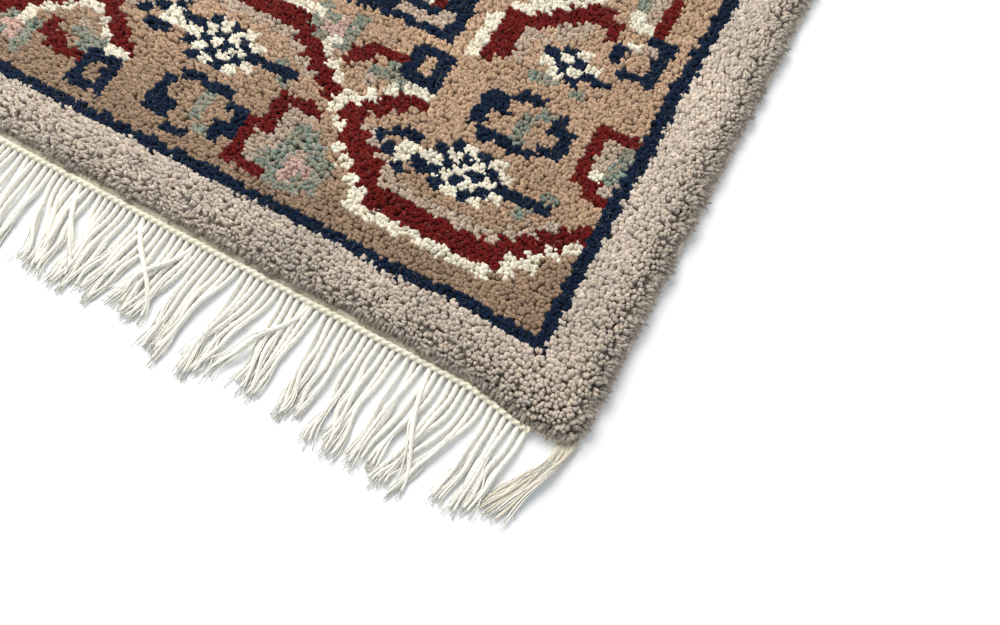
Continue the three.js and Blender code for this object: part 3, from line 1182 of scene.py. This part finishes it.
pitch, cord_root, cord_tip, cord_reach, cord_bow = grouped_cords()
draw = np.random.default_rng(51)
cord_tip = cord_tip + draw.normal(0, 1.6, cord_tip.size)
cord_reach = cord_reach * draw.uniform(0.9, 1.02, cord_reach.size)
cord_bow = cord_bow + draw.normal(0, 0.7, cord_bow.size)
cord_lift = draw.uniform(0, 1.6, cord_root.size)
paths = cord_paths(cord_root, cord_tip, cord_reach, cord_bow, cord_lift, 52)
stray_root, stray_tip, stray_reach = STRAYS.T.astype(float)
stray_paths = cord_paths(stray_root, stray_tip, stray_reach, 0 * stray_root, 0 * stray_root + 3.2, 53)
paths = np.concatenate([paths, stray_paths])
print(len(paths), "cords at each end, pitch", round(pitch, 2), "mm")


# %% Frayed ends and corner locks
def frayed_ends(paths, count, seed):
    """Thin ends: each follows its cord's last half, then spreads and runs a little further."""
    draw = np.random.default_rng(seed)
    tail = np.repeat(paths[:, -19::3], count, axis=0)
    share = np.linspace(0, 1, tail.shape[1])[None]
    spread = draw.normal(0, 2.1, (len(tail), 1)) * share ** 1.3
    curl = draw.normal(0, 0.7, (len(tail), 1)) * np.sin(2 * np.pi * share)
    longer = draw.uniform(-3.0, 6.0, (len(tail), 1)) * share ** 1.5
    x = tail[..., 0] + spread + curl + draw.normal(0, 0.5, (len(tail), 1))
    y = tail[..., 1] - longer
    z = np.maximum(tail[..., 2] - 0.6 * share + draw.uniform(-0.6, 0.9, (len(tail), 1)), 0.4)
    return np.stack([x, y, z], axis=-1)


LOCK_CORDS = 12
LOCK_INSET = 9
LOCK_SHIFT = -17
LOCK_REACH = 60
LOCK_START = 13


def lock_paths(side):
    """A bundle of long cords from one corner, which bows outwards and sweeps back in."""
    draw = np.random.default_rng(57 + side)
    root = side * (outer_half - LOCK_INSET + draw.uniform(-7, 5, LOCK_CORDS))
    tip = side * (outer_half - LOCK_INSET + LOCK_SHIFT + draw.uniform(-7, 6, LOCK_CORDS))
    reach = LOCK_REACH * draw.uniform(0.85, 1.05, LOCK_CORDS)
    bow = side * draw.uniform(5, 9, LOCK_CORDS)
    return cord_paths(root, tip, reach, bow, draw.uniform(0, 3, LOCK_CORDS), 58 + side, LOCK_START)


taper = 1 - 0.5 * smoothstep((np.linspace(0, 1, CORD_STATIONS) - 0.5) / 0.5)
locks = np.concatenate([lock_paths(1), lock_paths(-1)])
wisps = frayed_ends(np.concatenate([paths, locks]), 6, 61)
cord_mesh = tubes(paths, np.tile(CORD_RADIUS * taper, (len(paths), 1)), CORD_SIDES, 0.16, CORD_TWIST)
lock_mesh = tubes(locks, np.tile(0.75 * CORD_RADIUS * taper, (len(locks), 1)), CORD_SIDES, 0.16, CORD_TWIST)
wisp_mesh = tubes(wisps, np.tile(np.linspace(0.85, 0.35, wisps.shape[1]), (len(wisps), 1)), 3)
print(len(wisps), "frayed ends")

# %% Fringe pieces
fringe_points, fringe_triangles = joined([cord_mesh, wisp_mesh, lock_mesh])
fringe_colours = np.concatenate([
    coloured(COTTON, len(cord_mesh[0]) + len(wisp_mesh[0]), 0.02, 63),
    coloured(LOCK, len(lock_mesh[0]), 0.05, 64),
])
chain_points, chain_triangles = chain(pitch)
weave_points, weave_triangles = end_weave()
end_pieces = {}
for name, place in (("front", lambda points: points), ("back", turned)):
    end_pieces[name] = [
        add_piece(f"fringe_cords_{name}", place(fringe_points), fringe_triangles, cotton,
                  yarn_colour=fringe_colours),
        add_piece(f"chain_{name}", place(chain_points), chain_triangles, cotton,
                  yarn_colour=coloured(COTTON * (0.96, 0.92, 0.82), len(chain_points), 0.02, 65)),
        add_piece(f"end_weave_{name}", place(weave_points), weave_triangles, cotton,
                  yarn_colour=coloured(COTTON * (0.94, 0.9, 0.8), len(weave_points), 0.04, 66)),
    ]

# %% [markdown]
# ## Floor and light
# The rug lies on a plain white floor in soft daylight, so bright that the floor is almost pure
# white. A sky of even light fills the shadows, and one large lamp from the back left gives the
# tufts their shape and leaves the near corner a little darker.

# %% Floor and light
FLOOR_HALF = 3000
SKY_STRENGTH = 0.56
LAMP_SIZE = 1.6
LAMP_POWER = 54
LAMP_PLACE = Vector((-0.95, 0.55, 1.3))
LAMP_TARGET = Vector((0.15, -0.35, 0))

floor_material, floor_shader, _ = new_material("white_floor", 0.9, 0.0)
floor_shader.inputs["Base Color"].default_value = (0.95, 0.96, 0.98, 1)
floor_x, floor_y = np.meshgrid((-FLOOR_HALF, FLOOR_HALF), (-FLOOR_HALF, FLOOR_HALF))
floor_points = np.stack([floor_x, floor_y, np.full_like(floor_x, -0.2, dtype=float)], axis=-1).reshape(-1, 3)
floor = add_piece("floor", floor_points, grid_triangles(2, 2), floor_material)

world = bpy.data.worlds.new("daylight")
bpy.context.scene.world = world
world.use_nodes = True
sky = world.node_tree.nodes["Background"]
sky.inputs["Color"].default_value = (0.93, 0.97, 1.0, 1)
sky.inputs["Strength"].default_value = SKY_STRENGTH
lamp_data = bpy.data.lights.new("window", "AREA")
lamp_data.size = LAMP_SIZE
lamp_data.energy = LAMP_POWER
lamp_data.color = (1.0, 0.97, 0.93)
lamp = bpy.data.objects.new("window", lamp_data)
lamp.location = LAMP_PLACE
lamp.rotation_euler = (LAMP_TARGET - LAMP_PLACE).to_track_quat("-Z", "Y").to_euler()
bpy.context.scene.collection.objects.link(lamp)
bpy.context.scene.view_settings.view_transform = "Standard"
print("lamp of", LAMP_POWER, "W")

# %% [markdown]
# ## Tying the pieces to the frame
# Every piece rides on the rug's one body, and the node of the imported model that it stands for
# is hidden. The knotted body is what was woven to a size, and the rest stands or is sewn on it.

# %% Pieces and nodes
for piece in [body, fibres] + pile_strips:
    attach(piece, "root")
    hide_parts("rug_body")
for name, piece in selvedges.items():
    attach(piece, "root")
    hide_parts(f"selvedge_{name}")
for name, pieces in end_pieces.items():
    for piece in pieces:
        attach(piece, "root")
        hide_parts(f"fringe_{name}")
sewn_on = [fibres] + pile_strips + list(selvedges.values()) + end_pieces["front"] + end_pieces["back"]

total = sum(len(piece.data.polygons) for piece in [body] + sewn_on)
print(total, "triangles in all")
